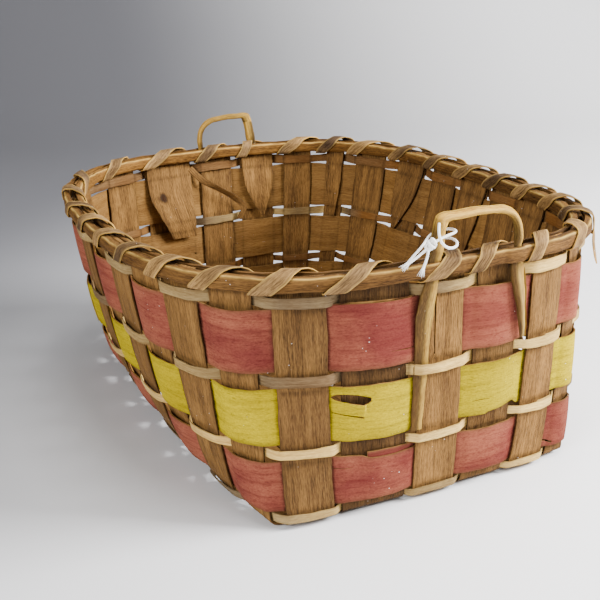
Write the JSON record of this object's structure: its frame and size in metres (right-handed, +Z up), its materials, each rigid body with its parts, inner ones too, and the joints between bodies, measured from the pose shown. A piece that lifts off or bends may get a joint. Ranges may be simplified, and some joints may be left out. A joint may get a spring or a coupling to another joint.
{
  "type": "woven fruit basket",
  "caption": "Rectangular plain-weave splint basket with flaring walls, banded colours, a lashed hoop rim and a carved upright handle at each end.",
  "frame": {"origin": "on the surface it stands on, under the middle of the basket", "axes": "+X along the length towards the handle with the string tie, +Y across the width, +Z up"},
  "size_m": [0.4199, 0.3254, 0.188],
  "materials": {
    "upright": "aged ash splint, rough grain along its length",
    "narrow_weaver": "bare ash splint, cream to grey tan",
    "red_weaver": "ash splint swabbed red outside, bare inside, worn and cracked",
    "yellow_weaver": "ash splint swabbed yellow outside, bare inside, worn and cracked",
    "hoop": "half-round bent ash, satin from handling",
    "lashing": "thin fibrous splint, grey tan",
    "handle": "carved and bent hardwood, honey, worn smooth",
    "string": "thin twisted cotton, frayed ends"
  },
  "bodies": {
    "root": {"long_upright_1": "upright", "long_upright_2": "upright", "long_upright_3": "upright", "long_upright_4": "upright", "long_upright_5": "upright", "long_upright_6": "upright", "cross_upright_1": "upright", "cross_upright_2": "upright", "cross_upright_3": "upright", "cross_upright_4": "upright", "cross_upright_5": "upright", "cross_upright_6": "upright", "cross_upright_7": "upright", "cross_upright_8": "upright", "weaver_narrow_base": "narrow_weaver", "weaver_narrow_low": "narrow_weaver", "weaver_narrow_middle": "narrow_weaver", "weaver_narrow_top": "narrow_weaver", "weaver_red_low": "red_weaver", "weaver_red_high": "red_weaver", "weaver_yellow": "yellow_weaver", "hoop_outer": "hoop", "hoop_inner": "hoop", "rim_lashing": "lashing", "handle_front": "handle", "handle_back": "handle", "string_lower": "string", "string_upper": "string"}
  },
  "joints": []
}
